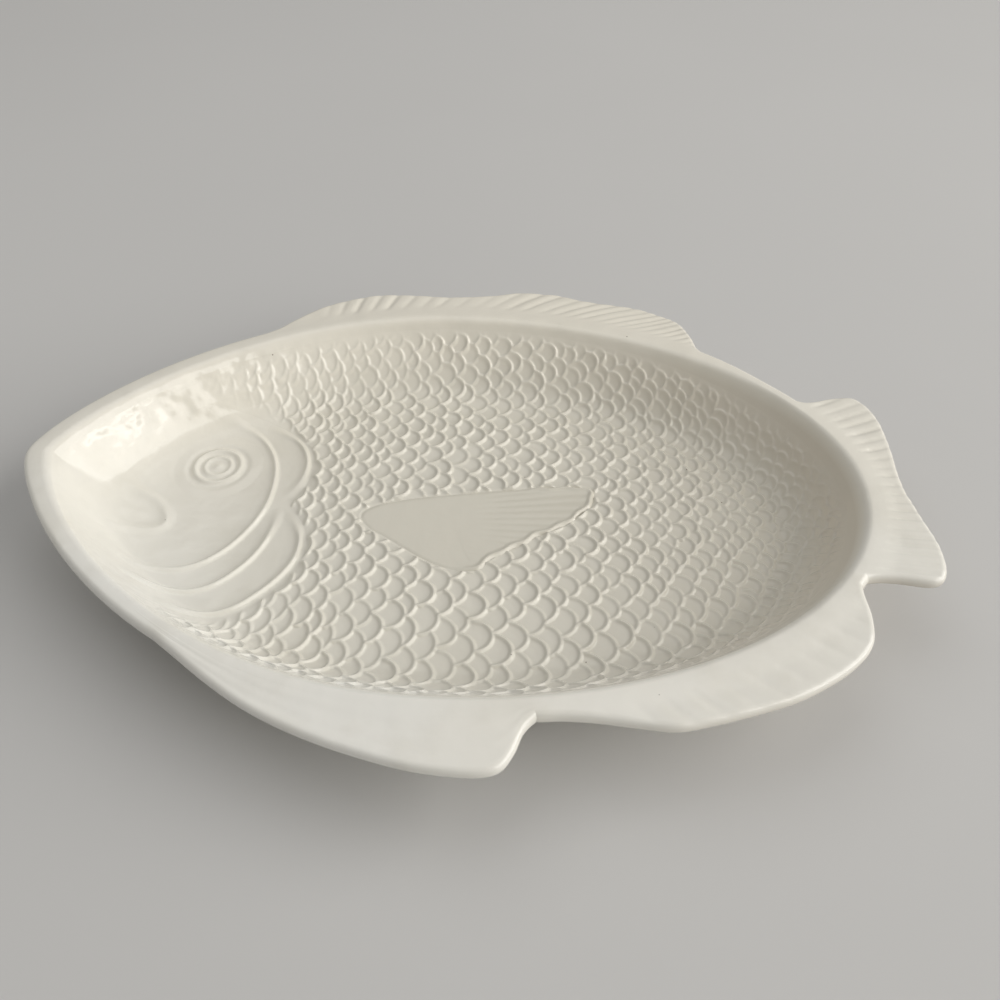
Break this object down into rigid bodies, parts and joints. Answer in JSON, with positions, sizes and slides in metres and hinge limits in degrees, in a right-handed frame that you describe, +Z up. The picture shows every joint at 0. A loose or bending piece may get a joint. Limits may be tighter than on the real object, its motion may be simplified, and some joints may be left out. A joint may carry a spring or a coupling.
{
  "type": "fish shaped platter",
  "caption": "Fish shaped serving platter in white glazed ceramic, with a deep oval well, moulded scales, eye and gills, and ribbed fins on its rim.",
  "frame": {"origin": "on the table, under the middle of the outline", "axes": "+X towards the tail, +Y towards the back fin, +Z up out of the well"},
  "size_m": [0.311, 0.2262, 0.0315],
  "materials": {
    "white_glaze": "gloss",
    "bare_clay": "matt"
  },
  "bodies": {
    "root": {"dish_shell": "white_glaze", "foot_ring": "bare_clay", "dorsal_fin": "white_glaze", "tail_fin": "white_glaze", "anal_fin": "white_glaze", "pelvic_fin": "white_glaze", "pectoral_fin": "white_glaze", "eye_rings": "white_glaze", "gill_covers": "white_glaze", "mouth_lips": "white_glaze", "scales": "white_glaze"}
  },
  "joints": []
}
